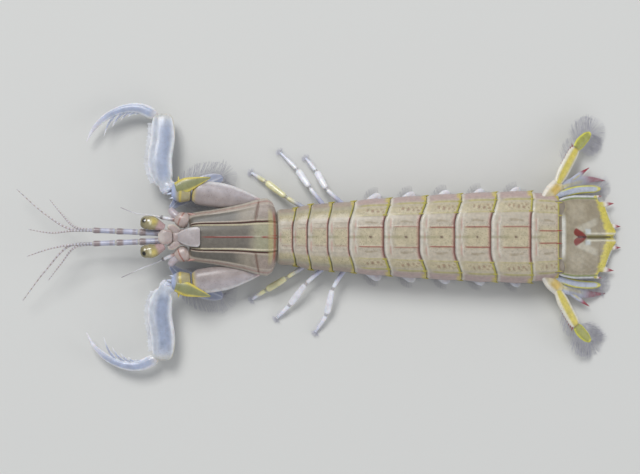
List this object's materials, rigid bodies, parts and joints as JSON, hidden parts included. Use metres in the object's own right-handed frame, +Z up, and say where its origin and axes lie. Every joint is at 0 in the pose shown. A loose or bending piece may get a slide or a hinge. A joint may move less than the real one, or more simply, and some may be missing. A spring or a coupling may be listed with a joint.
{
  "type": "mantis shrimp",
  "caption": "Life-size still model of a squillid mantis shrimp lying on its belly, toothed claws spread and open, tail fan laid to the floor.",
  "frame": {"origin": "on the floor under the middle of the whole animal's outline, feelers and claws included", "axes": "+Z up, -Y towards the head, +Y towards the tail, +X the animal's left side"},
  "size_m": [0.0782, 0.1774, 0.0146],
  "materials": {
    "shell": "satin chitin, speckled beige grey",
    "eye": "glossy golden cornea",
    "feeler": "translucent bluish chitin",
    "merus": "satin pinkish grey chitin, pale edge",
    "carpus": "satin chitin, blue and yellow",
    "claw": "glossy pale blue translucent chitin",
    "leg": "glossy white chitin",
    "underside": "soft pale chitin",
    "fan": "satin chitin, yellow, grey and red"
  },
  "bodies": {
    "root": {"carapace": "shell", "rostral_plate": "shell", "antennular_somite": "shell", "ophthalmic_somite": "shell", "thorax_somite_5": "shell", "thorax_somite_6": "shell", "thorax_somite_7": "shell", "thorax_somite_8": "shell", "abdomen_somite_1": "shell", "abdomen_somite_2": "shell", "abdomen_somite_3": "shell", "abdomen_somite_4": "shell", "abdomen_somite_5": "shell", "abdomen_somite_6": "shell", "eye_left": "eye", "eye_right": "eye", "antennule_left": "feeler", "antenna_left": "feeler", "antennal_scale_left": "feeler", "antennule_right": "feeler", "antenna_right": "feeler", "antennal_scale_right": "feeler", "claw_merus_left": "merus", "claw_merus_right": "merus", "claw_carpus_left": "carpus", "claw_carpus_right": "carpus", "claw_propodus_left": "claw", "claw_dactylus_left": "claw", "claw_propodus_right": "claw", "claw_dactylus_right": "claw", "walking_leg_1_left": "leg", "walking_leg_2_left": "leg", "walking_leg_3_left": "leg", "walking_leg_1_right": "leg", "walking_leg_2_right": "leg", "walking_leg_3_right": "leg", "mouth_underside": "underside", "maxilliped_3_left": "underside", "maxilliped_4_left": "underside", "maxilliped_5_left": "underside", "maxilliped_3_right": "underside", "maxilliped_4_right": "underside", "maxilliped_5_right": "underside", "pleopod_1_left": "underside", "pleopod_2_left": "underside", "pleopod_3_left": "underside", "pleopod_4_left": "underside", "pleopod_5_left": "underside", "pleopod_1_right": "underside", "pleopod_2_right": "underside", "pleopod_3_right": "underside", "pleopod_4_right": "underside", "pleopod_5_right": "underside", "telson": "fan", "uropod_base_left": "fan", "uropod_exopod_left": "fan", "uropod_endopod_left": "fan", "uropod_base_right": "fan", "uropod_exopod_right": "fan", "uropod_endopod_right": "fan"}
  },
  "joints": []
}
